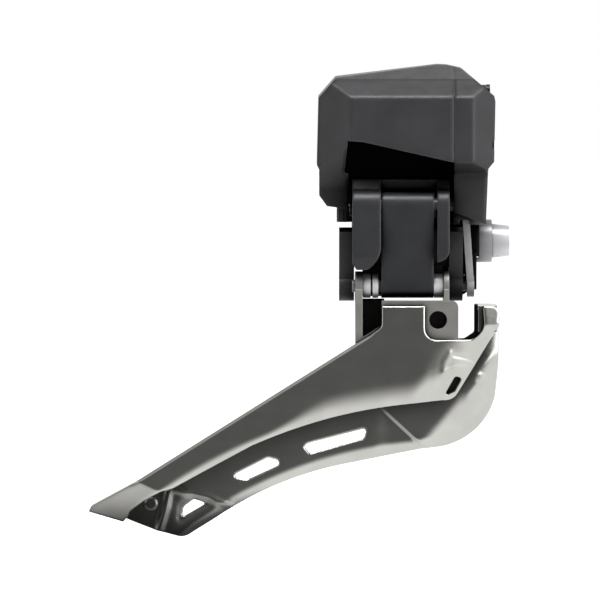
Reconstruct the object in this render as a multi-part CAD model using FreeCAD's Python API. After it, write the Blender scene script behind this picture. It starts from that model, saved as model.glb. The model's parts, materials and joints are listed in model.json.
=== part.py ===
"""Electronic braze-on front derailleur.

+X is forward, +Z is up along the seat tube and -Y is outboard.
The origin is the fixing bolt's axis where it meets the frame tab's face.
At rest the linkage holds the cage at its innermost, small-ring position.
"""
import FreeCAD, Part
import math
import os

Vector = FreeCAD.Vector

# ---------------------------------------------------------------- driving dimensions, mm
RUN = 0.05                  # radial clearance of every running fit
GAP = 0.1                   # clearance between faces that only pass each other

# pivots of the parallelogram, as (y, z)
UPPER_OUTER = (-27.0, 10.2)
UPPER_INNER = (-16.0, 9.5)
LINK_REACH = (3.8, -20.4)   # from an upper pivot to its lower pivot at rest
PIN_R = 1.5                 # output shaft and outer pins
FOOT_PIN_R = 1.2            # pin through the inner link's foot
LINER_R = 2.0               # outside of the outer link's liners
BUSH_R = 2.2                # outside of the output shaft's bushes

# housing
HOUSING_OUT, HOUSING_IN = -31.0, 2.0
SEAM_X = -6.8
OVERHANG_Z = 20.7
BRACKET_TOP = 16.2
WALL = 2.0

# links, as x ranges
OUTER_LINK_X = (-24.8, -11.9)
REAR_LUG_X = (-32.0, -24.9)
FRONT_LUG_X = (-11.0, -8.0)
REAR_CHEEK_X = (-35.25, -31.5)
FRONT_CHEEK_X = (-7.8, -4.4)
REAR_EAR_X = (-31.25, -29.5)
FRONT_EAR_X = (-9.3, -8.0)
INNER_BARREL_X = (-24.8, -11.8)
LEVER_X = (-4.75, -3.0)     # drive lever at the shaft end
LEVER_LEAN = 1.5            # how far its foot stands forward of that
BARREL_R = 3.0
BOSS_R = 3.6

# fixing bolt, M5
BOLT_R = 2.5
WASHER_R = 5.4
WASHER_T = 3.2
HEAD_R = 4.3
HEAD_LEN = 4.35

# cage
SHEET = 1.2
OUTER_PLATE_Y = -28.6       # outboard face
INNER_PLATE_Y = -16.6
CAGE_TOP = -15.0

# gear train: module, teeth of each wheel and pinion, layers along x
FINE, COARSE = 0.4, 0.6
PINION_TEETH = 10
FIRST_TEETH = 40
SECOND_TEETH = 36
SECTOR_TEETH = 40
LAYER_1 = (-6.2, -4.6)
LAYER_2 = (-4.4, -2.9)
LAYER_3 = (-2.6, -0.6)
SPINDLE_R = 0.6
MOTOR_R = 5.4
MOTOR_SHAFT_R = 0.5
MOTOR_BUSH_R = 2.5

LOWER_OUTER = (UPPER_OUTER[0] + LINK_REACH[0], UPPER_OUTER[1] + LINK_REACH[1])
LOWER_INNER = (UPPER_INNER[0] + LINK_REACH[0], UPPER_INNER[1] + LINK_REACH[1])


def stepped_centre(start, distance, degrees):
    """The (y, z) point at a distance from another, at an angle from +Y."""
    angle = math.radians(degrees)
    return (start[0] + distance * math.cos(angle), start[1] + distance * math.sin(angle))


def centre_distance(module, teeth_a, teeth_b):
    return module * (teeth_a + teeth_b) / 2


SECOND_ANGLE, FIRST_ANGLE, MOTOR_ANGLE = 90.0, 48.5, 160.0
SECOND_AXIS = stepped_centre(UPPER_INNER, centre_distance(COARSE, SECTOR_TEETH, PINION_TEETH), SECOND_ANGLE)
FIRST_AXIS = stepped_centre(SECOND_AXIS, centre_distance(FINE, SECOND_TEETH, PINION_TEETH), FIRST_ANGLE)
MOTOR_AXIS = stepped_centre(FIRST_AXIS, centre_distance(FINE, FIRST_TEETH, PINION_TEETH), MOTOR_ANGLE)


# ---------------------------------------------------------------- shape helpers
def block(x, y, z):
    """A box from three (low, high) ranges."""
    size = (x[1] - x[0], y[1] - y[0], z[1] - z[0])
    return Part.makeBox(*size, Vector(x[0], y[0], z[0]))


def rod(x, centre, radius):
    """A cylinder along X over the range x, centred on (y, z)."""
    return Part.makeCylinder(radius, x[1] - x[0], Vector(x[0], *centre), Vector(1, 0, 0))


def rod_y(y, x, z, radius):
    return Part.makeCylinder(radius, y[1] - y[0], Vector(x, y[0], z), Vector(0, 1, 0))


def rod_z(z, x, y, radius):
    return Part.makeCylinder(radius, z[1] - z[0], Vector(x, y, z[0]), Vector(0, 0, 1))


def tube(x, centre, outer, inner):
    return rod(x, centre, outer).cut(rod(x, centre, inner))


def prism_x(outline, x):
    """Extrude a (y, z) outline over the range x."""
    points = [Vector(x[0], y, z) for y, z in outline]
    face = Part.Face(Part.makePolygon(points + points[:1]))
    return face.extrude(Vector(x[1] - x[0], 0, 0))


def edges_in_xz(outline, y):
    """Edges through (x, z) points; a three-point entry is an arc's (x, z, 'arc') middle."""
    edges = []
    here = outline[0]
    middle = None
    for point in outline[1:] + outline[:1]:
        if len(point) == 3:
            middle = point
            continue
        start, end = Vector(here[0], y, here[1]), Vector(point[0], y, point[1])
        if middle:
            edges.append(Part.Arc(start, Vector(middle[0], y, middle[1]), end).toShape())
        else:
            edges.append(Part.makeLine(start, end))
        here, middle = point, None
    return edges


def prism_y(outline, y):
    """Extrude an (x, z) outline over the range y."""
    face = Part.Face(Part.Wire(edges_in_xz(outline, y[0])))
    return face.extrude(Vector(0, y[1] - y[0], 0))


def bar_between(x, start, end, half_width):
    """A straight bar over the range x, between two (y, z) points."""
    along_y, along_z = end[0] - start[0], end[1] - start[1]
    length = math.hypot(along_y, along_z)
    side_y, side_z = -along_z / length * half_width, along_y / length * half_width
    corners = [(start[0] + side_y, start[1] + side_z), (end[0] + side_y, end[1] + side_z),
               (end[0] - side_y, end[1] - side_z), (start[0] - side_y, start[1] - side_z)]
    return prism_x(corners, x)


def fuse(first, *others):
    return first.multiFuse(list(others)).removeSplitter()


def hex_rod(x, centre, across_flats):
    corner = across_flats / math.sqrt(3)
    outline = [stepped_centre(centre, corner, 60 * k) for k in range(6)]
    return prism_x(outline, x)


def gear(module, teeth, centre, x, tooth_angle, span=None):
    """A stub-tooth involute spur gear along X with a tooth centred on tooth_angle.

    span, as (first, last) tooth numbers, keeps only a sector of the teeth.
    """
    pressure = math.radians(25)
    addendum, dedendum, thinning = 0.8 * module, 1.05 * module, 0.08
    pitch_r = module * teeth / 2
    base_r = pitch_r * math.cos(pressure)
    root_r, tip_r = pitch_r - dedendum, pitch_r + addendum
    half_tooth = math.pi / (2 * teeth) - thinning / pitch_r
    pitch_roll = math.tan(pressure) - pressure
    flank = []
    for step in range(5):
        radius = max(root_r, base_r) + (tip_r - max(root_r, base_r)) * step / 4
        local = math.acos(min(1.0, base_r / radius))
        flank.append((radius, half_tooth + pitch_roll - (math.tan(local) - local)))
    if root_r < base_r:
        flank.insert(0, (root_r, flank[0][1]))
    first, last = span or (0, teeth - 1)
    outline = []
    for number in range(first, last + 1):
        middle = math.radians(tooth_angle) + 2 * math.pi * number / teeth
        rising = [(r, middle - a) for r, a in flank]
        falling = [(r, middle + a) for r, a in reversed(flank)]
        for radius, angle in rising + falling:
            outline.append(stepped_centre(centre, radius, math.degrees(angle)))
    if span:
        outline.append(centre)
    return prism_x(outline, x)


# ---------------------------------------------------------------- motor housing
HOUSING_SIDE = [(-40.4, 36.5), (-36.1, 41.5), (-10.8, 44.6), (-8.4, 44.5), (-4.8, 43.7), (3.1, 37.0),
                (3.4, 35.6), (3.1, OVERHANG_Z), (1.65, 19.0), (1.1, 5.2), (-6.9, 8.2), (-33.5, 8.8),
                (-38.3, 9.5), (-40.2, 12.1), (-40.2, 18.6), (-40.8, 19.8)]
CROWN = [(HOUSING_OUT, 36.75), (-26.0, 41.1), (-14.0, 45.0), (-4.0, 45.0), (HOUSING_IN, 38.0)]
CAVITY = [(-29.0, OVERHANG_Z + WALL), (-29.0, 35.8), (-24.2, 40.4), (-2.2, 40.4), (0.0, 37.6),
          (0.0, BRACKET_TOP + WALL), (-12.0, BRACKET_TOP + WALL), (-12.0, OVERHANG_Z + WALL)]
RECESS_BACK = -14.0
SCREW_PLACES = [(-25.15, 24.7), (-2.2, 37.8), (-2.2, 20.2)]
SCREW_R = 0.8
SCREW_HEAD_R = 1.6
SCREW_SEAT_X = 1.7          # where the heads bear on the cover
POST_X = -14.0              # rear end of the posts the screws bite into
POST_R = 2.4
COVER_CAVITY_X = -0.2       # front end of the cover's cavity over the output shaft
UPPER_CAVITY_X = 1.4        # front end of the cover's cavity above it
PORT_X, PORT_Y = -33.9, -6.0
PORT_R = 2.6                # outside of the port's sleeve
PLUG_STEM_R = 1.2
PLATE_X = (-8.4, -6.9)
COVER_X = (SEAM_X, 4.0)


def housing_outer(x, foot_z, foot_out):
    """The housing's faceted solid over the range x, with its foot cut to a height and depth."""
    section = CROWN + [(HOUSING_IN, foot_z), (foot_out, foot_z), (foot_out, OVERHANG_Z),
                       (HOUSING_OUT, OVERHANG_Z)]
    return prism_x(section, x)


def vertical_facet(start, end, corner):
    """A wedge to cut a vertical corner away, from three (x, y) plan points."""
    points = [Vector(x, y, 0.0) for x, y in (start, end, corner)]
    face = Part.Face(Part.makePolygon(points + points[:1]))
    return face.extrude(Vector(0, 0, 60.0))


REAR_FACET = ((-32.6, HOUSING_OUT - 0.1), (-42.0, -23.6), (-42.0, HOUSING_OUT - 0.1))
FRONT_FACET = ((-2.2, HOUSING_OUT - 0.1), (4.2, -25.4), (4.2, HOUSING_OUT - 0.1))
INSIDE_FACET = ((-5.5, HOUSING_OUT - 0.1), (4.2, -22.5), (4.2, HOUSING_OUT - 0.1))
RECESS = [(-33.2, 26.0), (-29.4, 25.7), (-7.2, OVERHANG_Z), (-6.0, OVERHANG_Z), (-6.0, BRACKET_TOP),
          (-29.7, BRACKET_TOP), (-34.0, 18.0)]


def housing_body():
    main = housing_outer((-33.0, SEAM_X - GAP), BRACKET_TOP + GAP, RECESS_BACK)
    facet = CROWN + [(HOUSING_IN, 8.0), (-20.5, 8.0), (-20.5, 14.0), (-24.5, 18.6), (HOUSING_OUT, 25.5)]
    rear = prism_x(facet, (-42.0, -33.0))
    outline = prism_y(HOUSING_SIDE, (HOUSING_OUT - 1, HOUSING_IN + 1))
    shape = fuse(main, rear).common(outline).cut(vertical_facet(*REAR_FACET))
    shape = shape.cut(prism_y(RECESS, (HOUSING_OUT - 1, RECESS_BACK)))
    raised = [(-29.0, 28.0)] + CAVITY[1:-1] + [(-12.0, 28.0)]
    shape = shape.cut(prism_x(raised, (-32.4, SEAM_X)))
    shape = shape.cut(prism_x(CAVITY, (POST_X, SEAM_X)))
    shape = shape.cut(block((-37.0, -34.8), (-23.0, 0.0), (OVERHANG_Z + WALL, 36.0)))
    shape = shape.cut(block((-37.0, -32.0), (-23.0, 0.0), (28.0, 36.0)))
    shape = shape.cut(block((-37.0, -32.0), (RECESS_BACK + WALL, 0.0), (OVERHANG_Z + WALL, 36.0)))
    for centre in SCREW_PLACES:
        post = rod((POST_X, PLATE_X[0] - GAP), centre, POST_R)
        shape = shape.fuse(post).cut(rod((POST_X + 1, SEAM_X), centre, SCREW_R))
    shape = shape.cut(rod_z((0.0, BRACKET_TOP + 1), PORT_X, PORT_Y, PORT_R))
    for x in BRACKET_SCREW_X:
        shape = shape.cut(rod_z((BRACKET_TOP, BRACKET_TOP + WALL + 1), x, BRACKET_SCREW_Y, BRACKET_SCREW_R))
    return shape.removeSplitter()


def lever_slot(foot_y):
    """Room for the drive lever where it leaves the cover, leaning towards foot_y."""
    return bar_between((LEVER_X[0] - 0.45, LEVER_X[1] + 0.4), UPPER_INNER, (foot_y, -6.0), 2.6)


def front_cover():
    outline = prism_y(HOUSING_SIDE, (HOUSING_OUT - 1, HOUSING_IN + 1))
    skirt = prism_x([(HOUSING_OUT, OVERHANG_Z), (-25.5, OVERHANG_Z - 3), (-25.5, 5.0), (-7.4, 5.0),
                     (-7.4, 17.0), (HOUSING_IN, 17.0), (HOUSING_IN, 22.0), (HOUSING_OUT, 22.0)], COVER_X)
    head = prism_x(CROWN + [(HOUSING_IN, OVERHANG_Z), (HOUSING_OUT, OVERHANG_Z)], COVER_X)
    shape = fuse(skirt, head).common(outline).cut(vertical_facet(*FRONT_FACET))
    shape = shape.fuse(rod((SEAM_X, 0.9), UPPER_INNER, 4.9))
    hollow = prism_x(CAVITY[:-2] + [(-9.0, BRACKET_TOP + WALL), (-9.0, 12.0), (-23.8, 12.0),
                                    (-23.8, OVERHANG_Z - 1)], (SEAM_X, COVER_CAVITY_X))
    hollow = hollow.common(prism_y([(SEAM_X, 10.0), (SEAM_X, 41.0), (-3.7, 41.0), (COVER_CAVITY_X, 37.7),
                                    (COVER_CAVITY_X, 10.0)], (HOUSING_OUT, HOUSING_IN)))
    inset = prism_y([(SEAM_X, OVERHANG_Z), (SEAM_X, 41.0), (-3.7, 41.0), (1.0, 36.6),
                     (UPPER_CAVITY_X, OVERHANG_Z)], (HOUSING_OUT, HOUSING_IN))
    upper = prism_x(CAVITY, (SEAM_X, UPPER_CAVITY_X)).common(inset)
    drum = rod((SEAM_X, COVER_CAVITY_X), UPPER_INNER, 3.9)
    cavity = fuse(hollow, upper, drum).cut(vertical_facet(*INSIDE_FACET))
    shape = shape.cut(cavity).cut(lever_slot(-12.6)).cut(lever_slot(-19.4))
    shape = shape.cut(rod((-0.5, 0.4), UPPER_INNER, PIN_R + RUN))
    for centre in SCREW_PLACES:
        shape = shape.fuse(rod((SEAM_X + GAP, 1.6), centre, SCREW_HEAD_R - GAP))
        shape = shape.cut(rod((SEAM_X - 1, 5.0), centre, SCREW_R + GAP))
        shape = shape.cut(rod((SCREW_SEAT_X, 5.0), centre, SCREW_HEAD_R + GAP))
    return shape.removeSplitter()


def cover_gasket():
    ring = housing_outer((SEAM_X - GAP, SEAM_X), BRACKET_TOP + 1.5, RECESS_BACK + 0.8)
    ring = ring.common(prism_y(HOUSING_SIDE, (HOUSING_OUT + 0.3, HOUSING_IN - 0.3)))
    ring = ring.cut(prism_x(CAVITY, (SEAM_X - 1, SEAM_X + 1)))
    for centre in SCREW_PLACES:
        ring = ring.cut(rod((SEAM_X - 1, SEAM_X + 1), centre, 1.9))
    return ring


def cover_screws():
    screws = []
    for centre in SCREW_PLACES:
        head = rod((SCREW_SEAT_X, SCREW_SEAT_X + 1), centre, SCREW_HEAD_R)
        screw = fuse(rod((POST_X + 1.5, SCREW_SEAT_X + 0.1), centre, SCREW_R), head)
        screws.append(screw.cut(hex_rod((SCREW_SEAT_X + 0.3, SCREW_SEAT_X + 1.5), centre, 1.3)))
    return Part.makeCompound(screws)


# ---------------------------------------------------------------- base bracket
BRACKET_SCREW_X = (-27.0, -15.0)
BRACKET_SCREW_Y = -4.5
BRACKET_SCREW_R = 1.25
BRACKET_HEAD_R = 2.3
BRACKET_HEAD_Z = (9.2, 11.0)
BLOCK_Z = (-3.75, 5.75)
SUPPORT_X, SUPPORT_Z = -5.9, -9.6
SUPPORT_R = 2.5
REAR_GUARD = [(REAR_LUG_X[0], 11.0), (REAR_LUG_X[1], 11.0), (REAR_LUG_X[1], 0.5), (-25.9, -3.4, "arc"),
              (-28.4, -6.0), (-31.0, -6.0), (REAR_LUG_X[0], -4.5)]
FRONT_GUARD = [(FRONT_LUG_X[0], 11.0), (FRONT_LUG_X[1], 11.0), (FRONT_LUG_X[1], -0.5), (-8.8, -3.0, "arc"),
               (FRONT_LUG_X[0], -4.0)]


def lug(x, guard):
    """One side of the bracket: both upper pivot bosses, their web and a guard arm outboard.

    guard is the arm's outline from the front, as (x, z) points.
    """
    outer = rod(x, UPPER_OUTER, BOSS_R)
    inner = rod(x, UPPER_INNER, 4.0)
    web = prism_x([(-26.0, 12.8), (-24.0, BRACKET_TOP), (-6.0, BRACKET_TOP), (-6.0, 7.2), (-13.5, 7.2),
                   (-20.5, 9.0), (-24.5, 7.6), (-29.4, 8.0)], x)
    arm = prism_x([(-30.6, 10.2), (-23.6, 9.0), (-23.2, -3.0), (-25.0, -6.5), (-28.8, -6.5),
                   (-30.4, -3.0)], x)
    return fuse(outer, inner, web, arm.common(prism_y(guard, (-31.0, -23.0))))


def base_bracket():
    rear = lug((REAR_LUG_X[0], REAR_LUG_X[1] - GAP), REAR_GUARD)
    front = lug(FRONT_LUG_X, FRONT_GUARD)
    bridge = block((REAR_LUG_X[0], FRONT_LUG_X[1]), (-24.0, 1.0), (14.0, BRACKET_TOP))
    spine = block((REAR_LUG_X[0], FRONT_LUG_X[1]), (-9.6, 1.0), (2.6, BRACKET_TOP))
    shoulder = block((-11.0, -5.0), (-6.4, 1.0), (BLOCK_Z[0], BRACKET_TOP))
    bolt_block = prism_x([(-6.0, BLOCK_Z[0]), (-6.0, 3.6), (-3.8, BLOCK_Z[1]), (4.6, BLOCK_Z[1]),
                          (6.0, 4.2), (6.0, BLOCK_Z[0])], (-5.5, 0.0))
    support = rod_y((-7.6, 1.0), SUPPORT_X, SUPPORT_Z, 4.0)
    neck = block((-9.4, -0.7), (-6.4, 1.0), (-12.0, BLOCK_Z[0] + 1))
    shape = fuse(rear, front, bridge, spine, shoulder, bolt_block, support, neck)
    shape = shape.cut(rod((-50.0, 0.0), UPPER_OUTER, PIN_R))
    shape = shape.cut(rod((REAR_LUG_X[0] - 1, FRONT_LUG_X[1] + 1), UPPER_INNER, BUSH_R))
    shape = shape.cut(rod((-12.0, 1.0), (0.0, 0.0), BOLT_R + RUN))
    shape = shape.cut(rod_y((-9.0, 2.0), SUPPORT_X, SUPPORT_Z, SUPPORT_R + RUN))
    shape = shape.cut(rod_z((5.0, 20.0), PORT_X, PORT_Y, PORT_R + GAP))
    for x in BRACKET_SCREW_X:
        shape = shape.cut(rod_z((0.0, 20.0), x, BRACKET_SCREW_Y, BRACKET_SCREW_R + GAP))
        shape = shape.cut(rod_z((0.0, BRACKET_HEAD_Z[1]), x, BRACKET_SCREW_Y, BRACKET_HEAD_R + GAP))
    return shape.removeSplitter()


def bracket_screws():
    screws = []
    for x in BRACKET_SCREW_X:
        shank = rod_z((10.9, BRACKET_TOP + WALL - 0.2), x, BRACKET_SCREW_Y, BRACKET_SCREW_R)
        head = rod_z(BRACKET_HEAD_Z, x, BRACKET_SCREW_Y, BRACKET_HEAD_R)
        socket = rod_z((9.0, 10.2), x, BRACKET_SCREW_Y, 1.15)
        screws.append(fuse(shank, head).cut(socket))
    return Part.makeCompound(screws)


def output_bushes():
    """Plain flanged bushes that carry the output shaft in both lugs."""
    rear = tube((REAR_LUG_X[0], REAR_LUG_X[1] - GAP), UPPER_INNER, BUSH_R, PIN_R + RUN)
    front = tube(FRONT_LUG_X, UPPER_INNER, BUSH_R, PIN_R + RUN)
    flange = tube((-11.6, -11.0), UPPER_INNER, 3.2, PIN_R + RUN)
    return Part.makeCompound([rear, fuse(front, flange)])


def upper_outer_pin():
    return rod((REAR_LUG_X[0], FRONT_LUG_X[1]), UPPER_OUTER, PIN_R)


def fixing_bolt():
    shank = rod((-9.0, WASHER_T + 0.1), (0.0, 0.0), BOLT_R)
    head = Part.makeCone(HEAD_R, HEAD_R - 0.5, HEAD_LEN, Vector(WASHER_T + 0.05, 0, 0), Vector(1, 0, 0))
    socket = hex_rod((WASHER_T + 1.4, WASHER_T + 6), (0.0, 0.0), 5.0)
    return fuse(shank, head).cut(socket)


def fixing_washer():
    """A thick washer whose rear face is hollowed to follow the frame tab's curve."""
    disc = tube((-0.6, WASHER_T), (0.0, 0.0), WASHER_R, BOLT_R + 0.15)
    relief = block((-1.0, 0.02), (-6.0, 6.0), (BLOCK_Z[0] - 0.6, BLOCK_Z[1] + 0.6))
    return disc.cut(relief)


def support_bolt():
    shank = rod_y((-7.2, 2.2), SUPPORT_X, SUPPORT_Z, SUPPORT_R)
    tip = rod_y((2.2, 3.0), SUPPORT_X, SUPPORT_Z, 1.8)
    socket = rod_y((-7.4, -5.0), SUPPORT_X, SUPPORT_Z, 1.25)
    return fuse(shank, tip).cut(socket)


# ---------------------------------------------------------------- motor, electronics and port
def motor_can():
    can = rod((-32.0, PLATE_X[0] - 0.2), MOTOR_AXIS, MOTOR_R)
    return can.cut(rod((-12.0, 0.0), MOTOR_AXIS, 1.0))


def motor_bush():
    return tube(PLATE_X, MOTOR_AXIS, MOTOR_BUSH_R, MOTOR_SHAFT_R + RUN)


def gear_plate():
    plate = prism_x([(-28.6, OVERHANG_Z + WALL + 0.2), (-28.6, 35.4), (-25.2, 38.6), (-2.4, 38.8),
                     (-0.4, 36.8), (-0.4, BRACKET_TOP + WALL + 0.2), (-11.6, BRACKET_TOP + WALL + 0.2),
                     (-11.6, OVERHANG_Z + WALL + 0.2)], PLATE_X)
    plate = plate.cut(rod((-10.0, 0.0), MOTOR_AXIS, MOTOR_BUSH_R))
    for axis in (FIRST_AXIS, SECOND_AXIS):
        plate = plate.cut(rod((-10.0, 0.0), axis, SPINDLE_R))
    for centre in SCREW_PLACES:
        plate = plate.cut(rod((-10.0, 0.0), centre, SCREW_R + GAP))
    return plate


def gear_spindles():
    first = rod((PLATE_X[0], LAYER_2[1] + 0.2), FIRST_AXIS, SPINDLE_R)
    second = rod((PLATE_X[0], LAYER_3[1] + 0.2), SECOND_AXIS, SPINDLE_R)
    return Part.makeCompound([first, second])


def circuit_board():
    board = block((-36.0, -17.0), (-2.6, -1.6), (23.0, 35.8))
    chip = block((-29.0, -23.0), (-3.6, -2.6), (26.0, 32.0))
    plug = block((-35.0, -31.0), (-5.0, -2.6), (23.2, 26.2))
    return fuse(board, chip, plug)


def position_sensor():
    return block((-6.6, -5.5), (-18.0, -14.0), (14.4, 16.6))


def port_socket():
    sleeve = rod_z((9.4, 16.6), PORT_X, PORT_Y, PORT_R)
    return sleeve.cut(rod_z((9.0, 15.6), PORT_X, PORT_Y, PLUG_STEM_R + RUN))


def dummy_plug():
    """A blanking plug with a fluted grip, pulled down out of the wire port."""
    stem = rod_z((9.0, 15.0), PORT_X, PORT_Y, PLUG_STEM_R)
    grip = rod_z((5.0, 9.0), PORT_X, PORT_Y, 1.9)
    for k in range(10):
        y, x = stepped_centre((PORT_Y, PORT_X), 2.0, 36 * k)
        grip = grip.cut(rod_z((4.5, 8.2), x, y, 0.3))
    return fuse(stem, grip)


# ---------------------------------------------------------------- gear train
def motor_pinion():
    """The motor's shaft with its pinion; a pinion tooth faces the first gear."""
    shaft = rod((-11.8, LAYER_1[0] + 0.1), MOTOR_AXIS, MOTOR_SHAFT_R)
    pinion = gear(FINE, PINION_TEETH, MOTOR_AXIS, LAYER_1, MOTOR_ANGLE + 180)
    return fuse(shaft, pinion)


def first_gear():
    half_pitch = 180.0 / FIRST_TEETH
    wheel = gear(FINE, FIRST_TEETH, FIRST_AXIS, LAYER_1, MOTOR_ANGLE + half_pitch)
    pinion = gear(FINE, PINION_TEETH, FIRST_AXIS, (LAYER_1[1] - GAP, LAYER_2[1]), FIRST_ANGLE + 180)
    return fuse(wheel, pinion).cut(rod((-10.0, 0.0), FIRST_AXIS, SPINDLE_R + RUN))


def second_gear():
    half_pitch = 180.0 / SECOND_TEETH
    wheel = gear(FINE, SECOND_TEETH, SECOND_AXIS, LAYER_2, FIRST_ANGLE + half_pitch)
    pinion = gear(COARSE, PINION_TEETH, SECOND_AXIS, (LAYER_2[1] - GAP, LAYER_3[1]), SECOND_ANGLE + 180)
    return fuse(wheel, pinion).cut(rod((-10.0, 0.0), SECOND_AXIS, SPINDLE_R + RUN))


def sector_gear():
    """The output gear, with teeth only where the shift's travel needs them."""
    half_pitch = 180.0 / SECTOR_TEETH
    teeth = gear(COARSE, SECTOR_TEETH, UPPER_INNER, LAYER_3, SECOND_ANGLE + half_pitch, (-2, 3))
    hub = rod(LAYER_3, UPPER_INNER, 3.0)
    return fuse(teeth, hub).cut(rod((-10.0, 1.0), UPPER_INNER, PIN_R))


def output_shaft():
    return rod((REAR_LUG_X[0] - 0.7, 0.3), UPPER_INNER, PIN_R)


# ---------------------------------------------------------------- links
def along_link(start, distance):
    """The (y, z) point a distance down the link from one of its upper pivots."""
    reach = math.hypot(*LINK_REACH)
    return (start[0] + LINK_REACH[0] * distance / reach, start[1] + LINK_REACH[1] * distance / reach)


def outer_link():
    """The wide outboard plate, round at each pivot and flush between, hollowed on its inboard side."""
    top = rod(OUTER_LINK_X, UPPER_OUTER, BARREL_R)
    foot = rod(OUTER_LINK_X, LOWER_OUTER, BARREL_R)
    web = bar_between(OUTER_LINK_X, UPPER_OUTER, LOWER_OUTER, BARREL_R)
    pocket_x = (OUTER_LINK_X[0] + 2.4, OUTER_LINK_X[1] - 2.4)
    pocket = bar_between(pocket_x, along_link(UPPER_OUTER, 4.6), along_link(UPPER_OUTER, 16.1), BARREL_R)
    pocket.translate(Vector(0, 2.8, 0))
    shape = fuse(top, foot, web).cut(pocket)
    for centre in (UPPER_OUTER, LOWER_OUTER):
        shape = shape.cut(rod((-30.0, 0.0), centre, LINER_R))
    return shape


def outer_link_bushes():
    """Dry-running liners pressed into the outer link's barrels."""
    return Part.makeCompound([tube(OUTER_LINK_X, centre, LINER_R, PIN_R + RUN)
                              for centre in (UPPER_OUTER, LOWER_OUTER)])


def drive_lever():
    """The arm on the output shaft that leans forward down to the inner link's foot pin."""
    head = rod(LEVER_X, UPPER_INNER, 3.4)
    foot = rod((LEVER_X[0] + LEVER_LEAN, LEVER_X[1] + LEVER_LEAN), LOWER_INNER, 2.6)
    lean = FreeCAD.Matrix()
    lean.A13 = LEVER_LEAN / LINK_REACH[1]
    lean.A14 = -lean.A13 * UPPER_INNER[1]
    arm = bar_between(LEVER_X, UPPER_INNER, LOWER_INNER, 2.0).transformGeometry(lean)
    shape = fuse(head, foot, arm)
    return shape.cut(rod((-10.0, 1.0), UPPER_INNER, PIN_R)).cut(rod((-10.0, 1.0), LOWER_INNER, FOOT_PIN_R))


def inner_link():
    """A narrow barrel on the output shaft that widens to two cheeks and a tongue on the foot pin."""
    barrel = rod(INNER_BARREL_X, UPPER_INNER, 3.2)
    stem_x = (INNER_BARREL_X[0] + 0.2, INNER_BARREL_X[1] - 0.2)
    stem = bar_between(stem_x, along_link(UPPER_INNER, 1.0), along_link(UPPER_INNER, 7.0), 1.7)
    wide = (REAR_CHEEK_X[0], FRONT_CHEEK_X[1])
    plate_top = along_link(UPPER_INNER, 6.2)
    plate = bar_between(wide, plate_top, along_link(UPPER_INNER, 15.4), 1.3)
    tongue_x = (REAR_EAR_X[1] + GAP, FRONT_EAR_X[0] - GAP)
    tongue = bar_between(tongue_x, along_link(UPPER_INNER, 15.0), LOWER_INNER, 1.8)
    shape = fuse(barrel, stem, plate, tongue, rod(tongue_x, LOWER_INNER, 2.5))
    for x in (REAR_CHEEK_X, FRONT_CHEEK_X):
        cheek = bar_between(x, plate_top, LOWER_INNER, 2.6)
        boss = rod(x, LOWER_INNER, BOSS_R)
        shape = shape.fuse([cheek, boss])
    shape = shape.cut(rod((-40.0, 0.0), UPPER_INNER, PIN_R))
    return shape.cut(rod((-40.0, 0.0), LOWER_INNER, FOOT_PIN_R)).removeSplitter()


def lower_inner_pin():
    return rod((REAR_CHEEK_X[0], LEVER_X[1] + LEVER_LEAN), LOWER_INNER, FOOT_PIN_R)


def lower_outer_pin():
    """Pressed into the cage bracket's ears; the outer link turns on it."""
    return rod((REAR_EAR_X[0] - 0.8, FRONT_EAR_X[1] + 0.1), LOWER_OUTER, PIN_R)


def pivot_washers():
    """Bright thrust washers on each side of the outer link's foot."""
    rear = (REAR_EAR_X[1] + GAP, REAR_EAR_X[1] + 2.0)
    middle = (OUTER_LINK_X[0] - 2.2, OUTER_LINK_X[0] - 0.8)
    front = (OUTER_LINK_X[1] + GAP, FRONT_EAR_X[0] - GAP)
    return Part.makeCompound([tube(x, LOWER_OUTER, BARREL_R, PIN_R + RUN) for x in (rear, middle, front)])


def shaft_clip():
    """The retaining ring on the output shaft's rear end."""
    return tube((REAR_LUG_X[0] - 0.55, REAR_LUG_X[0] - 0.05), UPPER_INNER, 2.6, PIN_R)


# ---------------------------------------------------------------- cage
NECK_X = (-24.75, -14.0)
BLADE_ARC = (-36.2, -42.6, "arc")
OUTER_PLATE = [(NECK_X[0], CAGE_TOP), (NECK_X[1], CAGE_TOP), (NECK_X[1], -20.5), (-13.1, -22.6, "arc"),
               (-10.9, -23.4), (-2.4, -23.4), (-0.2, -21.6, "arc"), (0.6, -19.0), (0.3, CAGE_TOP),
               (2.9, CAGE_TOP), (4.1, -15.5, "arc"), (4.6, -16.9), (4.3, -20.1), (-2.0, -30.6),
               (-6.2, -37.5), (-7.6, -38.5, "arc"), (-9.6, -38.7), (-16.3, -39.3), BLADE_ARC,
               (-57.0, -49.7), (-76.5, -60.3), (-79.5, -61.1), (-83.5, -63.3), (-87.3, -66.3),
               (-88.0, -67.9), (-89.0, -69.0), (-97.7, -66.5), (-96.9, -64.8), (-85.2, -58.2),
               (-25.6, -20.8), (NECK_X[0], -19.8)]
INNER_PLATE = [(-1.6, CAGE_TOP), (2.9, CAGE_TOP), (4.5, -16.6), (4.6, -30.0), (3.9, -38.3),
               (-0.9, -46.8, "arc"), (-9.7, -51.0), (-14.8, -51.5), (-35.5, -55.6), (-50.8, -60.4, "arc"),
               (-66.2, -68.8), (-72.2, -72.5), (-73.6, -73.2, "arc"), (-75.1, -73.3), (-81.0, -71.7),
               (-87.5, -69.2), (-92.5, -66.8), (-92.0, -64.6), (-84.0, -60.6), (-28.6, -26.4),
               (-27.6, -23.6), (-4.0, -23.6), (-1.6, -22.0)]
TAIL_WINDOW = [(-74.5, -68.5), (-74.0, -65.8), (-71.5, -63.9), (-68.5, -65.0)]
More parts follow.
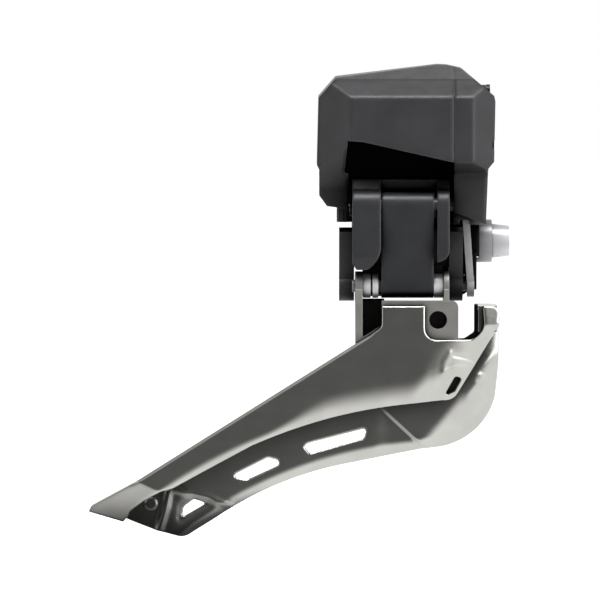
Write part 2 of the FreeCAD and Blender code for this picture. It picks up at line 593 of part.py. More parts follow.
MIDDLE_WINDOW = [(-61.4, -57.8), (-53.0, -53.5), (-50.4, -54.2), (-50.3, -55.4), (-58.2, -59.0),
                 (-60.9, -58.6)]
LONG_WINDOW = [(-43.9, -50.8), (-43.2, -50.0), (-29.0, -46.3), (-28.5, -46.8), (-29.0, -48.7),
               (-42.5, -52.5)]
CAGE_SLOT = [(-6.5, -32.6), (-4.9, -33.0), (-6.5, -36.2), (-9.2, -37.6)]
TAIL_JOINT = (-78.4, -59.2)
BRIDGE_X = (-0.8, 3.8)
TAB_HOLE = (-10.8, -18.5)
TAB_TOP = -13.7
TAB_HOLE_R = 2.25
TAB_BOSS_R = 3.2
TAB_HOLE_DEPTH = 3.2
SHELF_Z = (-25.0, -23.7)
WEB_Y = (OUTER_PLATE_Y + SHEET, OUTER_PLATE_Y + SHEET + 1.6)
FLANGE_T = 1.3
NECK_STUDS = [(-22.4, -18.4), (-17.0, -18.4)]
FLANGE_RIVETS = [(-24.0, -26.9), (-12.0, -26.9)]
BRIDGE_RIVET = (1.8, -19.0)
RIVET_R = 1.0
RIVET_HEAD_R = 1.7
RIVET_HEAD_T = 0.4


def outer_plate():
    y = (OUTER_PLATE_Y, OUTER_PLATE_Y + SHEET)
    return prism_y(OUTER_PLATE, y).cut(prism_y(CAGE_SLOT, (y[0] - 1, y[1] + 1)))


def inner_plate():
    y = (INNER_PLATE_Y, INNER_PLATE_Y + SHEET)
    plate = prism_y(INNER_PLATE, y)
    for window in (TAIL_WINDOW, MIDDLE_WINDOW, LONG_WINDOW):
        plate = plate.cut(prism_y(window, (y[0] - 1, y[1] + 1)))
    for x, z in FLANGE_RIVETS + [BRIDGE_RIVET, TAIL_JOINT]:
        plate = plate.cut(rod_y((y[0] - 1, y[1] + 1), x, z, RIVET_R))
    return plate


def front_bridge():
    """A folded strap over the chain that ties the two plates together at the front."""
    y = (OUTER_PLATE_Y + SHEET, INNER_PLATE_Y)
    roof = block(BRIDGE_X, y, (CAGE_TOP - SHEET, CAGE_TOP))
    legs = [block(BRIDGE_X, side, (CAGE_TOP - 6.4, CAGE_TOP)) for side in
            ((y[0], y[0] + SHEET), (y[1] - SHEET, y[1]))]
    strap = fuse(roof, *legs)
    return strap.cut(rod_y((y[0] - 1, y[1] + 1), *BRIDGE_RIVET, RIVET_R))


def cage_ear(x):
    """One ear of the bracket: a boss at each lower pivot and a leg down to the shelf."""
    bosses = [rod(x, centre, BOSS_R) for centre in (LOWER_OUTER, LOWER_INNER)]
    leg = prism_x([(WEB_Y[0], SHELF_Z[0]), (WEB_Y[0], -14.6), (LOWER_OUTER[0] - BOSS_R, LOWER_OUTER[1] - 0.8),
                   (LOWER_OUTER[0], LOWER_OUTER[1] + BOSS_R), (LOWER_INNER[0], LOWER_INNER[1] + BOSS_R),
                   (LOWER_INNER[0] + BOSS_R, LOWER_INNER[1] - 0.8), (INNER_PLATE_Y, SHELF_Z[1] + 0.2),
                   (INNER_PLATE_Y, SHELF_Z[0])], x)
    return fuse(leg, *bosses)


def cage_bracket():
    """Two ears, a web behind the neck with a blind hole beside it, and an inboard flange and gusset."""
    width = (REAR_EAR_X[0], -5.75)
    web = prism_y([(NECK_X[0], TAB_TOP), (NECK_X[0], -19.8), (width[0] + 0.8, -23.4),
                   (width[0] + 0.8, SHELF_Z[0]), (width[1], SHELF_Z[0]), (width[1], TAB_TOP - 1.7),
                   (width[1] - 0.5, TAB_TOP - 0.5, "arc"), (width[1] - 1.7, TAB_TOP)], WEB_Y)
    shelf = block(width, (WEB_Y[0], INNER_PLATE_Y), SHELF_Z)
    flange = block((-28.0, -8.0), (INNER_PLATE_Y - FLANGE_T, INNER_PLATE_Y), (-28.2, SHELF_Z[1]))
    gusset = block((width[0], -24.0), (INNER_PLATE_Y - FLANGE_T, INNER_PLATE_Y), (SHELF_Z[0], TAB_TOP))
    boss = rod_y((WEB_Y[0], WEB_Y[0] + TAB_HOLE_DEPTH + 1), *TAB_HOLE, TAB_BOSS_R)
    shape = fuse(cage_ear(REAR_EAR_X), cage_ear(FRONT_EAR_X), web, shelf, flange, gusset, boss)
    shape = shape.cut(rod((-40.0, 0.0), LOWER_OUTER, PIN_R))
    shape = shape.cut(rod((-40.0, 0.0), LOWER_INNER, FOOT_PIN_R + RUN))
    shape = shape.cut(rod_y((WEB_Y[0] - 1, WEB_Y[0] + TAB_HOLE_DEPTH), *TAB_HOLE, TAB_HOLE_R))
    for x, z in NECK_STUDS:
        shape = shape.cut(rod_y((-40.0, -20.0), x, z, RIVET_R))
    for x, z in FLANGE_RIVETS:
        shape = shape.cut(rod_y((-20.0, -10.0), x, z, RIVET_R))
    return shape.removeSplitter()


def rivet(y, x, z):
    """A rivet through the range y, with a low flat head on each side."""
    heads = [rod_y((end, end + RIVET_HEAD_T), x, z, RIVET_HEAD_R) for end in (y[0] - RIVET_HEAD_T, y[1])]
    return fuse(rod_y(y, x, z, RIVET_R), *heads)


def stud(y, x, z):
    """A stud welded to the outer plate's hidden face, closed with one head on its inboard end."""
    return fuse(rod_y(y, x, z, RIVET_R), rod_y((y[1], y[1] + RIVET_HEAD_T), x, z, RIVET_HEAD_R))


def neck_studs():
    return Part.makeCompound([stud(WEB_Y, x, z) for x, z in NECK_STUDS])


def flange_rivets():
    y = (INNER_PLATE_Y - FLANGE_T, INNER_PLATE_Y + SHEET)
    return Part.makeCompound([rivet(y, x, z) for x, z in FLANGE_RIVETS])


def bridge_rivets():
    outer = stud((OUTER_PLATE_Y + SHEET, OUTER_PLATE_Y + 2 * SHEET), *BRIDGE_RIVET)
    inner = rivet((INNER_PLATE_Y - SHEET, INNER_PLATE_Y + SHEET), *BRIDGE_RIVET)
    return Part.makeCompound([outer, inner])


def tail_spacer():
    y = (OUTER_PLATE_Y + SHEET, INNER_PLATE_Y)
    barrel = rod_y(y, *TAIL_JOINT, 1.8)
    return barrel.cut(rod_y(y, *TAIL_JOINT, RIVET_R))


def tail_rivet():
    return stud((OUTER_PLATE_Y + SHEET, INNER_PLATE_Y + SHEET), *TAIL_JOINT)


PARTS = [housing_body, front_cover, cover_gasket, cover_screws, base_bracket, bracket_screws, output_bushes,
         upper_outer_pin, fixing_bolt, fixing_washer, support_bolt, motor_can, motor_bush, gear_plate,
         gear_spindles, circuit_board, position_sensor, port_socket, dummy_plug, motor_pinion, first_gear,
         second_gear, sector_gear, output_shaft, outer_link, outer_link_bushes, drive_lever, inner_link,
         lower_inner_pin, lower_outer_pin, pivot_washers, shaft_clip, outer_plate, inner_plate, front_bridge,
         cage_bracket, neck_studs, flange_rivets, bridge_rivets, tail_spacer, tail_rivet]


os.makedirs("parts", exist_ok=True)
for make in PARTS:
    solid = make()
    solid.exportStep("parts/" + make.__name__ + ".step")
    print(make.__name__, len(solid.Solids), round(solid.Volume, 1), solid.isValid())
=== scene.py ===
import json
import math

import bpy
import numpy as np
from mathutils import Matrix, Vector


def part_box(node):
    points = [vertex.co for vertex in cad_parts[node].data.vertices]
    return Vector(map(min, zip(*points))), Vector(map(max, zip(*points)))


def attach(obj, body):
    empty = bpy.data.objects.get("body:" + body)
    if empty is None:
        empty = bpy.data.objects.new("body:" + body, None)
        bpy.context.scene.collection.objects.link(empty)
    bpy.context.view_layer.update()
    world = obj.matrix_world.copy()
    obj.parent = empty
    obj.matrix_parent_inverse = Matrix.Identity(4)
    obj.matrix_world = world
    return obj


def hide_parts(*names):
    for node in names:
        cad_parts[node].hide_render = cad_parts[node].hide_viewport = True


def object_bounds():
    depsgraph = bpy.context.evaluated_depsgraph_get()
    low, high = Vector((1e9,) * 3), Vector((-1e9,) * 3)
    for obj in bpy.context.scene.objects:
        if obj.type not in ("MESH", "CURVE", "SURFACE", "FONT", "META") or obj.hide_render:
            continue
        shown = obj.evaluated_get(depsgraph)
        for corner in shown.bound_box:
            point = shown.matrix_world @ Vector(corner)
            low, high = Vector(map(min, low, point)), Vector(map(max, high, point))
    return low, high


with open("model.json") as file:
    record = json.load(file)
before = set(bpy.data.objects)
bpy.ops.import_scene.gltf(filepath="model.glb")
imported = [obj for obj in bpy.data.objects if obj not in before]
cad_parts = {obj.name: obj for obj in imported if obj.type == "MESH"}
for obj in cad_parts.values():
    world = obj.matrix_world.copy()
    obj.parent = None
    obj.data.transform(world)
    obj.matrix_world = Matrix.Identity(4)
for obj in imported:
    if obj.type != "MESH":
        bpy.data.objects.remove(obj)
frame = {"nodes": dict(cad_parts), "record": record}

MM = 0.001
CAD_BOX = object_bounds()
CENTRE = (CAD_BOX[0] + CAD_BOX[1]) / 2


# ---------------------------------------------------------------- shader helper
class Shader:
    """A small helper that adds and links nodes of one material."""

    def __init__(self, name):
        self.material = bpy.data.materials.new(name)
        self.material.use_nodes = True
        self.tree = self.material.node_tree
        self.surface = self.tree.nodes["Principled BSDF"]
        self.place = self.add("ShaderNodeTexCoord").outputs["Object"]

    def add(self, kind, **values):
        node = self.tree.nodes.new(kind)
        for key, value in values.items():
            setattr(node, key, value)
        return node

    def link(self, output, socket):
        self.tree.links.new(output, socket)

    def noise(self, size_mm, detail=3.0, stretch=(1, 1, 1)):
        """Noise whose features are about size_mm across, in the object's own frame."""
        mapping = self.add("ShaderNodeMapping")
        mapping.inputs["Scale"].default_value = stretch
        node = self.add("ShaderNodeTexNoise")
        node.inputs["Scale"].default_value = 1 / (size_mm * MM)
        node.inputs["Detail"].default_value = detail
        self.link(self.place, mapping.inputs["Vector"])
        self.link(mapping.outputs[0], node.inputs["Vector"])
        return node.outputs["Fac"]

    def mapped(self, value, start, end, low=0.0, high=1.0):
        """Low to high while value goes from start to end, held level outside."""
        node = self.add("ShaderNodeMapRange")
        limits = {"From Min": start, "From Max": end, "To Min": low, "To Max": high}
        for socket, number in limits.items():
            node.inputs[socket].default_value = number
        self.link(value, node.inputs["Value"])
        return node.outputs["Result"]

    def spread(self, value, low, high):
        """Map the middle of a noise to the range low to high."""
        return self.mapped(value, 0.3, 0.7, low, high)

    def product(self, value, factor):
        """Value times a number or another socket."""
        node = self.add("ShaderNodeMath", operation="MULTIPLY")
        self.link(value, node.inputs[0])
        if isinstance(factor, float):
            node.inputs[1].default_value = factor
        else:
            self.link(factor, node.inputs[1])
        return node.outputs[0]

    def blend(self, factor, first, second):
        """First where factor is zero and second where it is one. Each is a colour or a socket."""
        node = self.add("ShaderNodeMix", data_type="RGBA")
        for socket, value in ((6, first), (7, second)):
            if isinstance(value, tuple):
                node.inputs[socket].default_value = (*value, 1)
            else:
                self.link(value, node.inputs[socket])
        self.link(factor, node.inputs[0])
        return node.outputs[2]

    def edge_mask(self, width_mm, strength):
        """Bright where the surface turns sharply, broken up by a fine noise."""
        bevel = self.add("ShaderNodeBevel", samples=4)
        bevel.inputs["Radius"].default_value = width_mm * MM
        facing = self.add("ShaderNodeNewGeometry")
        dot = self.add("ShaderNodeVectorMath", operation="DOT_PRODUCT")
        self.link(bevel.outputs[0], dot.inputs[0])
        self.link(facing.outputs["Normal"], dot.inputs[1])
        turn = self.mapped(dot.outputs["Value"], 0.995, 0.90, 0.0, strength)
        return self.product(turn, self.spread(self.noise(RUB_BREAK_MM), 0.2, 1.0))

    def openness(self, reach_mm, closed, clear):
        """One in the open, falling to zero in corners and behind nearby pieces; used to paint shade."""
        node = self.add("ShaderNodeAmbientOcclusion", samples=12)
        node.inputs["Distance"].default_value = reach_mm * MM
        return self.mapped(node.outputs["AO"], closed, clear)

    def bump(self, height, depth_mm, rounding_mm):
        """A fine relief on a surface whose edges look rounded."""
        node = self.add("ShaderNodeBump")
        node.inputs["Distance"].default_value = depth_mm * MM
        self.link(height, node.inputs["Height"])
        rounding = self.add("ShaderNodeBevel", samples=8)
        rounding.inputs["Radius"].default_value = rounding_mm * MM
        self.link(rounding.outputs[0], node.inputs["Normal"])
        self.link(node.outputs[0], self.surface.inputs["Normal"])


# ---------------------------------------------------------------- materials
BRUSHED = (0.12, 1, 1)      # grain drawn out along x
MOTTLING_MM = 7.0
UNEVEN_GLOSS_MM = 2.5
RUBBED_EDGE_MM = 0.25
RUB_BREAK_MM = 0.9          # size of the gaps in a rubbed edge
# Rubbed edges and mottling of the nickel, and how strongly shade is painted into its corners.
NICKEL_WEAR_AND_SHADE = {"wear": 0.3, "mottling": 0.05, "painted_shade": 0.75}


def finish_material(name, colour, worn, metallic, roughness, grain_mm, depth_mm, stretch=(1, 1, 1),
                    wear=0.4, mottling=0.12, painted_shade=0.35, sheen=0.5, rounding_mm=0.1, reach_mm=14.0,
                    closed=0.5, clear=0.95):
    """One finish: mottled colour, painted shade in corners and behind nearby pieces, uneven gloss, a fine
    grain and rubbed edges.
    """
    shader = Shader(name)
    darker = tuple(c * (1 - mottling) for c in colour)
    lighter = tuple(min(1.0, c * (1 + mottling)) for c in colour)
    mottled = shader.blend(shader.spread(shader.noise(MOTTLING_MM), 0, 1), darker, lighter)
    rubbed = shader.blend(shader.edge_mask(RUBBED_EDGE_MM, wear), mottled, worn)
    # Painted shade: in corners and behind nearby pieces, as ambient occlusion finds them, the colour
    # darkens and the specular level drops.
    painted_shade_colour = tuple(c * (1 - painted_shade) ** 2 for c in colour)
    openness = shader.openness(reach_mm, closed, clear)
    shader.link(shader.blend(openness, painted_shade_colour, rubbed), shader.surface.inputs["Base Color"])
    shader.link(shader.product(openness, sheen), shader.surface.inputs["Specular IOR Level"])
    gloss = shader.spread(shader.noise(UNEVEN_GLOSS_MM, 5.0, stretch), roughness * 0.85, roughness * 1.15)
    shader.link(gloss, shader.surface.inputs["Roughness"])
    shader.surface.inputs["Metallic"].default_value = metallic
    shader.bump(shader.noise(grain_mm, 4.0, stretch), depth_mm, rounding_mm)
    return shader.material


def black_housing():
    return finish_material("satin_black_paint", (0.019, 0.019, 0.0205), (0.15, 0.15, 0.155), metallic=0.0,
                           roughness=0.36, grain_mm=0.22, depth_mm=0.006, wear=0.35, painted_shade=0.7,
                           sheen=0.38, rounding_mm=1.6)


def grey_link():
    return finish_material("dark_anodised", (0.016, 0.0165, 0.018), (0.20, 0.20, 0.21), metallic=0.1,
                           roughness=0.40, grain_mm=0.18, depth_mm=0.005, wear=0.5, painted_shade=0.85,
                           sheen=0.4, rounding_mm=0.9)


def link_light():
    return finish_material("blasted_grey", (0.085, 0.085, 0.09), (0.3, 0.3, 0.31), metallic=0.4,
                           roughness=0.42, grain_mm=0.15, depth_mm=0.006, painted_shade=0.7)


def plated_cage():
    return finish_material("satin_nickel", (0.62, 0.615, 0.58), (0.85, 0.85, 0.83), metallic=1.0,
                           roughness=0.19, grain_mm=0.30, depth_mm=0.0008, stretch=BRUSHED,
                           reach_mm=16.0, closed=0.6, clear=0.93, **NICKEL_WEAR_AND_SHADE)


def plated_bracket():
    return finish_material("blasted_nickel", (0.30, 0.295, 0.28), (0.70, 0.70, 0.68), metallic=0.8,
                           roughness=0.40, grain_mm=0.30, depth_mm=0.002, **NICKEL_WEAR_AND_SHADE)


def zinc_steel():
    return finish_material("bright_zinc", (0.50, 0.50, 0.515), (0.68, 0.68, 0.68), metallic=0.45,
                           roughness=0.32, grain_mm=0.12, depth_mm=0.003, painted_shade=0.6)


def cast_lever():
    return finish_material("tumbled_casting", (0.46, 0.46, 0.47), (0.8, 0.8, 0.8), metallic=0.25,
                           roughness=0.42, grain_mm=0.35, depth_mm=0.04, mottling=0.25, painted_shade=0.5)


def black_steel():
    return finish_material("black_oxide", (0.022, 0.022, 0.022), (0.3, 0.3, 0.3), metallic=0.5,
                           roughness=0.35, grain_mm=0.12, depth_mm=0.004)


def rubber_black():
    return finish_material("gasket_rubber", (0.015, 0.015, 0.015), (0.05, 0.05, 0.05), metallic=0.0,
                           roughness=0.75, grain_mm=0.3, depth_mm=0.01)


def board_green():
    return finish_material("solder_mask", (0.02, 0.14, 0.06), (0.5, 0.4, 0.2), metallic=0.0,
                           roughness=0.3, grain_mm=0.6, depth_mm=0.01)


def brass_gear():
    return finish_material("cut_brass", (0.65, 0.48, 0.22), (0.85, 0.7, 0.4), metallic=1.0,
                           roughness=0.3, grain_mm=0.1, depth_mm=0.003)


def bush_polymer():
    return finish_material("bearing_polymer", (0.10, 0.10, 0.09), (0.2, 0.2, 0.18), metallic=0.0,
                           roughness=0.55, grain_mm=0.2, depth_mm=0.006)


def plug_plastic():
    return finish_material("moulded_black", (0.035, 0.035, 0.04), (0.09, 0.09, 0.09), metallic=0.0,
                           roughness=0.5, grain_mm=0.25, depth_mm=0.01)


FINISHES = (black_housing, grey_link, link_light, plated_cage, plated_bracket, zinc_steel, cast_lever,
            black_steel, rubber_black, board_green, brass_gear, bush_polymer, plug_plastic)
MATERIALS = {finish.__name__: finish() for finish in FINISHES}


def paint(obj, slot_name):
    obj.data.materials.clear()
    obj.data.materials.append(MATERIALS[slot_name])
    for polygon in obj.data.polygons:
        polygon.material_index = 0


# ---------------------------------------------------------------- carried-over CAD nodes
SOFT_EDGE_MM = {
    "housing_body": 1.2, "front_cover": 1.0, "base_bracket": 0.5, "outer_link": 0.4, "inner_link": 0.4,
    "cage_bracket": 0.3, "front_bridge": 0.25, "fixing_bolt": 0.3, "fixing_washer": 0.35,
    "support_bolt": 0.25, "drive_lever": 0.3, "pivot_washers": 0.2, "dummy_plug": 0.12,
    "neck_studs": 0.2, "flange_rivets": 0.2, "bridge_rivets": 0.2, "tail_rivet": 0.2,
    "cover_screws": 0.12, "tail_spacer": 0.2, "shaft_clip": 0.08,
}
OWN_FINISH = {"cage_bracket": "plated_bracket"}     # duller than the plates it carries


def soften(obj, width_mm):
    """Merge coplanar triangles, then round every sharp edge."""
    merge = obj.modifiers.new("merge_flat", "DECIMATE")
    merge.decimate_type = "DISSOLVE"
    merge.angle_limit = math.radians(1.5)
    bevel = obj.modifiers.new("soft_edges", "BEVEL")
    bevel.width = width_mm * MM
    bevel.segments = 3
    bevel.limit_method = "ANGLE"
    bevel.angle_limit = math.radians(28)
    bevel.use_clamp_overlap = True
    bevel.harden_normals = False


def dress_nodes():
    """Every CAD node gets its finish, and the ones on show get soft edges."""
    for entry in frame["record"]["subparts"]:
        name = entry["node"]
        node = frame["nodes"][name]
        paint(node, OWN_FINISH.get(name, entry["material_slot"]))
        node.data.shade_smooth()
        if name in SOFT_EDGE_MM:
            soften(node, SOFT_EDGE_MM[name])
        node.modifiers.new("even_normals", "WEIGHTED_NORMAL")


# ---------------------------------------------------------------- pressing a flat plate
VOXEL_MM = 0.25


def smooth_step(value, start, end):
    """Zero up to start, one past end, smooth between. End may be the smaller."""
    t = np.clip((value - start) / (end - start), 0, 1)
    return t * t * (3 - 2 * t)


def distance_to_line(x, z, start, end):
    """Signed distance of points from the line start to end, positive on its left."""
    along = np.array(end) - np.array(start)
    along = along / np.hypot(*along)
    return (z - start[1]) * along[0] - (x - start[0]) * along[1]


def distance_to_path(x, z, corners):
    """Distance of points from an open path."""
    nearest = np.full(x.shape, np.inf)
    for (ax, az), (bx, bz) in zip(corners, corners[1:]):
        length = (bx - ax) ** 2 + (bz - az) ** 2
        t = np.clip(((x - ax) * (bx - ax) + (z - az) * (bz - az)) / length, 0, 1)
        nearest = np.minimum(nearest, np.hypot(x - ax - t * (bx - ax), z - az - t * (bz - az)))
    return nearest


def distance_outside(x, z, centre, radius):
    """Distance of points outside a circle."""
    return np.hypot(x - centre[0], z - centre[1]) - radius


def ridge(x, z, path, width):
    """A narrow round-topped line of height one along a path."""
    return np.exp(-(distance_to_path(x, z, path) / width) ** 2)


def rounded(distance, width):
    """One at an edge, falling smoothly to zero a width away from it."""
    return np.clip(1 - distance / width, 0, 1.3) ** 2


def add_smoothing(piece, name, rounds):
    smooth = piece.modifiers.new(name, "SMOOTH")
    smooth.factor = 0.5
    smooth.iterations = rounds


def pressed_plate(name, node, press):
    """A dense copy of a flat CAD plate, with press(x, z) in mm added to its depth."""
    piece = bpy.data.objects.new(name, frame["nodes"][node].data.copy())
    bpy.context.scene.collection.objects.link(piece)
    remesh = piece.modifiers.new("remesh", "REMESH")
    remesh.mode = "VOXEL"
    remesh.voxel_size = VOXEL_MM * MM
    add_smoothing(piece, "relax", 4)
    graph = bpy.context.evaluated_depsgraph_get()
    mesh = bpy.data.meshes.new_from_object(piece.evaluated_get(graph))
    piece.modifiers.clear()
    piece.data = mesh
    points = np.empty(len(mesh.vertices) * 3)
    mesh.vertices.foreach_get("co", points)
    points = points.reshape(-1, 3)
    points[:, 1] += press(points[:, 0] / MM, points[:, 2] / MM) * MM
    mesh.vertices.foreach_set("co", points.ravel())
    mesh.shade_smooth()
    mesh.update()
    add_smoothing(piece, "finish", 6)
    return piece


# ---------------------------------------------------------------- outer cage plate, x and z in mm
FRONT_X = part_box("inner_plate")[1].x / MM               # foremost edge of both plates
NECK_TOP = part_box("outer_plate")[1].z / MM
TAIL_CREASE = ((-85.8, -58.2), (-79.5, -61.2))
BLADE_TOP = ((-85.2, -58.2), (-25.6, -20.8))
FRONT_EDGE = ((-6.2, -37.5), (4.3, -20.1))
NECK_EDGE = [(-25.6, -20.8), (-24.75, -19.8), (-24.75, NECK_TOP), (-14.0, NECK_TOP), (-14.0, -20.5),
             (-13.1, -22.6), (-10.9, -23.4), (-2.4, -23.4)]
OUTER_LIP_CENTRE, OUTER_LIP_R = (-5.1, -169.3), 130.5
RIDGE_DOWN = [(-7.7, -26.9), (-9.0, -28.9), (-9.4, -31.6)]
RIDGE_OVER_SLOT = [(-9.2, -31.4), (-6.6, -30.4), (-2.8, -30.6)]
POCKET = [(-6.7, -27.2), (-3.6, -27.9), (-1.2, -28.8)]
TAIL_SLOPE = 0.42
LIP_SLOPE = 0.28
FRONT_WIDTH, FRONT_DROP = 13.0, 4.4
HOOK_SLOPE = 0.20
FOLD_DEPTH = 0.5
RIM_DEPTH = 0.07
EDGE_WIDTH = 0.9                                        # of the folded top and the neck's rim
FORMED_HEIGHT = 0.11


def bent_tail(x, z):
    return TAIL_SLOPE * np.maximum(0, -distance_to_line(x, z, *TAIL_CREASE)) * smooth_step(x, -78, -79)


def lower_lip(x, z):
    """A rolled lower edge, narrow along the tail and wide under the neck."""
    width = 2.3 + 5.5 * smooth_step(x, -54, -34)
    roll = rounded(distance_outside(x, z, OUTER_LIP_CENTRE, OUTER_LIP_R), width)
    return LIP_SLOPE * width * roll * smooth_step(x, -3, -9) * smooth_step(x, -84, -78)


def front_and_hook(x, z):
    """Below the hook the front falls away. The hook itself leans outboard."""
    below_hook = smooth_step(z, -19, -25)
    front = rounded(distance_to_line(x, z, *FRONT_EDGE), FRONT_WIDTH) * smooth_step(x, -19, -12)
    hook = np.maximum(0, FRONT_X - x) * smooth_step(x, -3, -1)
    return FRONT_DROP * front * below_hook - HOOK_SLOPE * hook * (1 - below_hook)


def rounded_edges(x, z):
    fold = rounded(-distance_to_line(x, z, *BLADE_TOP), EDGE_WIDTH)
    fold = fold * smooth_step(x, -26, -28) * smooth_step(x, -88, -84)
    return FOLD_DEPTH * fold + RIM_DEPTH * rounded(distance_to_path(x, z, NECK_EDGE), EDGE_WIDTH)


def slot_ridges(x, z):
    """The raised ridges and the pocket pressed around the front slot."""
    raised = ridge(x, z, RIDGE_DOWN, 0.8) + 0.8 * ridge(x, z, RIDGE_OVER_SLOT, 0.7)
    return FORMED_HEIGHT * (raised - 1.2 * ridge(x, z, POCKET, 0.6))


def outer_press(x, z):
    """The outer plate: bent tail, rolled lower lip, rounded edges and a front that falls away."""
    return (bent_tail(x, z) + lower_lip(x, z) + front_and_hook(x, z) + rounded_edges(x, z)
            - slot_ridges(x, z))


# ---------------------------------------------------------------- inner cage plate, x and z in mm
TAIL_WINDOW = [(-74.5, -68.5), (-74.0, -65.8), (-71.5, -63.9), (-68.5, -65.0), (-74.5, -68.5)]
MIDDLE_WINDOW = [(-61.4, -57.8), (-53.0, -53.5), (-50.4, -54.2), (-50.3, -55.4), (-58.2, -59.0),
                 (-60.9, -58.6), (-61.4, -57.8)]
FRONT_WINDOW = [(-43.9, -50.8), (-43.2, -50.0), (-29.0, -46.3), (-28.5, -46.8), (-29.0, -48.7),
                (-42.5, -52.5), (-43.9, -50.8)]
INNER_LIP_CENTRE, INNER_LIP_R = (-7.4, -160.3), 108.9
SWEEP_START = ((-15.8, -48.9), (-7.9, -39.5))
FACET_CREASE = ((-24.4, -41.1), (-15.6, -49.2))
TAIL_RIB = [(-77.6, -61.0), (-78.6, -66.0), (-80.2, -71.6)]
TAIL_SPUR = [(-76.0, -61.6), (-68.0, -63.4), (-62.0, -65.8)]
TAIL_RIVET = (-82.2, -65.0)
RIVET_HEAD_R = (1.7, 1.3)                               # at the plate and at its flat top
S_RIDGE = [(3.0, -34.7), (-0.9, -35.3), (-2.7, -37.7), (-3.0, -40.2)]
POCKET_SHADOW = [(-1.5, -31.1), (2.7, -32.7)]


def window_edges(x, z):
    """A dished border round the tail window and slight ones round the other two."""
    rims = ridge(x, z, MIDDLE_WINDOW, 0.6) + ridge(x, z, FRONT_WINDOW, 0.6)
    return 0.6 * ridge(x, z, TAIL_WINDOW, 1.6) + 0.1 * rims


def rolled_edges(x, z):
    roll = rounded(distance_outside(x, z, INNER_LIP_CENTRE, INNER_LIP_R), 3.4)
    front_roll = rounded(FRONT_X - x, 6.0) * smooth_step(z, -16, -22)
    return 1.6 * roll * smooth_step(x, -6, -16) * smooth_step(x, -80, -70) + 0.9 * front_roll


def tail_relief(x, z):
    """Two ribs and the raised head of the tail joint."""
    ribs = 0.7 * ridge(x, z, TAIL_RIB, 1.0) + 0.4 * ridge(x, z, TAIL_SPUR, 0.9)
    from_rivet = np.hypot(x - TAIL_RIVET[0], z - TAIL_RIVET[1])
    return ribs + 0.4 * smooth_step(from_rivet, *RIVET_HEAD_R)


def front_sweep(x, z):
    """The front curves inboard past one crease and steps at another, only low on the plate."""
    past = np.maximum(0, -distance_to_line(x, z, *SWEEP_START))
    sweep = np.minimum(0.09 * past ** 2, 0.7 * past)
    facet = np.clip(-distance_to_line(x, z, *FACET_CREASE) / 0.6, 0, 1) * smooth_step(x, -27, -22)
    return (sweep + 0.5 * facet) * smooth_step(z, -22, -31)


def front_relief(x, z):
    return 0.2 * ridge(x, z, S_RIDGE, 1.1) - 0.12 * ridge(x, z, POCKET_SHADOW, 0.8)


def inner_press(x, z):
    """The inner plate: dished windows, tail ribs, rolled edges and a front that sweeps inboard."""
    return (window_edges(x, z) + rolled_edges(x, z) + front_sweep(x, z)
            - tail_relief(x, z) - front_relief(x, z))


def press_cage():
    """Formed plates in place of the two flat ones."""
    for side, press in (("outer", outer_press), ("inner", inner_press)):
        node = side + "_plate"
        plate = pressed_plate(side + "_cage_plate", node, press)
        paint(plate, "plated_cage")
        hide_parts(node)
        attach(plate, "cage")


# ---------------------------------------------------------------- studio
FRAME_WIDTH = 150 * MM
LENS_MM = 400
ELEVATION = math.radians(3)
AIM_FROM_REAR, AIM_BELOW_TOP = 52.7 * MM, 58.9 * MM     # point looked at, inside the CAD box
FLOOR_GAP = 3 * MM
FLOOR_HALF = 3.0

# name: place from the centre of the part, size and power of each lamp
SOFTBOXES = {
    "top_box": ((0.05, -0.22, 0.56), (0.5, 0.25), 5.0),
    "left_box": ((-0.55, -0.25, 0.10), (0.3, 0.6), 0.4),
    "right_box": ((0.45, -0.38, 0.12), (0.4, 0.6), 1.7),
    "front_fill": ((0.10, -0.90, 0.15), (0.4, 0.3), 1.9),
}


def ramp(tree, value, start, end, low, high):
    """A smooth change from low to high while value goes from start to end."""
    node = tree.nodes.new("ShaderNodeMapRange")
    node.interpolation_type = "SMOOTHSTEP"
    for name, number in (("From Min", start), ("From Max", end), ("To Min", low), ("To Max", high)):
        node.inputs[name].default_value = number
    tree.links.new(value, node.inputs["Value"])
    return node.outputs["Result"]


def product(tree, first, second):
    node = tree.nodes.new("ShaderNodeMath")
    node.operation = "MULTIPLY"
    tree.links.new(first, node.inputs[0])
    tree.links.new(second, node.inputs[1])
    return node.outputs[0]


def set_world():
    """Pale, dimmer to the left and above, with a dark patch where the viewer stands."""
    world = bpy.data.worlds.new("studio")
    bpy.context.scene.world = world
    world.use_nodes = True
    tree = world.node_tree
    place = tree.nodes.new("ShaderNodeTexCoord")
    split = tree.nodes.new("ShaderNodeSeparateXYZ")
    tree.links.new(place.outputs["Generated"], split.inputs[0])
    viewer = ramp(tree, split.outputs["Y"], -0.96, -0.55, 0.12, 1.0)
    left = ramp(tree, split.outputs["X"], -1.0, 0.1, 0.35, 1.0)
    above = ramp(tree, split.outputs["Z"], 0.2, 1.0, 1.0, 0.5)
    path = tree.nodes.new("ShaderNodeLightPath")
    pick = tree.nodes.new("ShaderNodeMix")
    pick.inputs[3].default_value = 1.0
    tree.links.new(path.outputs["Is Camera Ray"], pick.inputs[0])
    tree.links.new(product(tree, product(tree, viewer, left), above), pick.inputs[2])
    background = tree.nodes["Background"]
    background.inputs["Color"].default_value = (1, 1, 1, 1)
    tree.links.new(pick.outputs[0], background.inputs["Strength"])


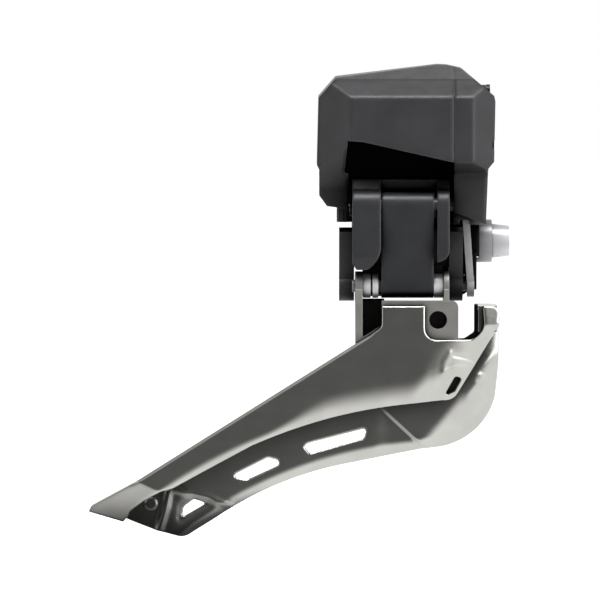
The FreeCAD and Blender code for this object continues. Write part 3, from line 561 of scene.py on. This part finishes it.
def soft_light(name, offset, size, power):
    """A rectangular lamp aimed at the centre of the part."""
    data = bpy.data.lights.new(name, "AREA")
    data.shape = "RECTANGLE"
    data.size, data.size_y = size
    data.energy = power
    light = bpy.data.objects.new(name, data)
    bpy.context.scene.collection.objects.link(light)
    light.location = CENTRE + Vector(offset)
    light.rotation_euler = (-Vector(offset)).to_track_quat("-Z", "Y").to_euler()
    return light


def set_lights():
    lights = {name: soft_light(name, *values) for name, values in SOFTBOXES.items()}
    lights["front_fill"].visible_glossy = False


def floor_material():
    shader = Shader("pale_floor")
    shade = shader.blend(shader.spread(shader.noise(60.0), 0, 1), (0.90, 0.90, 0.90), (0.94, 0.94, 0.94))
    shader.link(shade, shader.surface.inputs["Base Color"])
    shader.surface.inputs["Roughness"].default_value = 0.8
    shader.surface.inputs["Emission Color"].default_value = (1, 1, 1, 1)
    shader.surface.inputs["Emission Strength"].default_value = 0.55
    return shader.material


def floor_sheet():
    """A white sheet just under the part. The metal does not mirror it."""
    height = CAD_BOX[0].z - FLOOR_GAP
    sides = ((-1, -1), (1, -1), (1, 1), (-1, 1))
    data = bpy.data.meshes.new("floor")
    data.from_pydata([(a * FLOOR_HALF, b * FLOOR_HALF, height) for a, b in sides], [], [(0, 1, 2, 3)])
    data.materials.append(floor_material())
    sheet = bpy.data.objects.new("floor", data)
    bpy.context.scene.collection.objects.link(sheet)
    sheet.visible_glossy = False


def set_camera():
    """A long lens on the outboard side, a little above the part."""
    data = bpy.data.cameras.new("camera")
    data.lens = LENS_MM
    camera = bpy.data.objects.new("camera", data)
    bpy.context.scene.collection.objects.link(camera)
    bpy.context.scene.camera = camera
    aim = Vector((CAD_BOX[0].x + AIM_FROM_REAR, CENTRE.y, CAD_BOX[1].z - AIM_BELOW_TOP))
    distance = FRAME_WIDTH * data.lens / data.sensor_width
    camera.location = aim + distance * Vector((0, -math.cos(ELEVATION), math.sin(ELEVATION)))
    camera.rotation_euler = (math.radians(90) - ELEVATION, 0, 0)


dress_nodes()
press_cage()
set_world()
floor_sheet()
set_lights()
set_camera()
bpy.context.scene.view_settings.view_transform = "Standard"
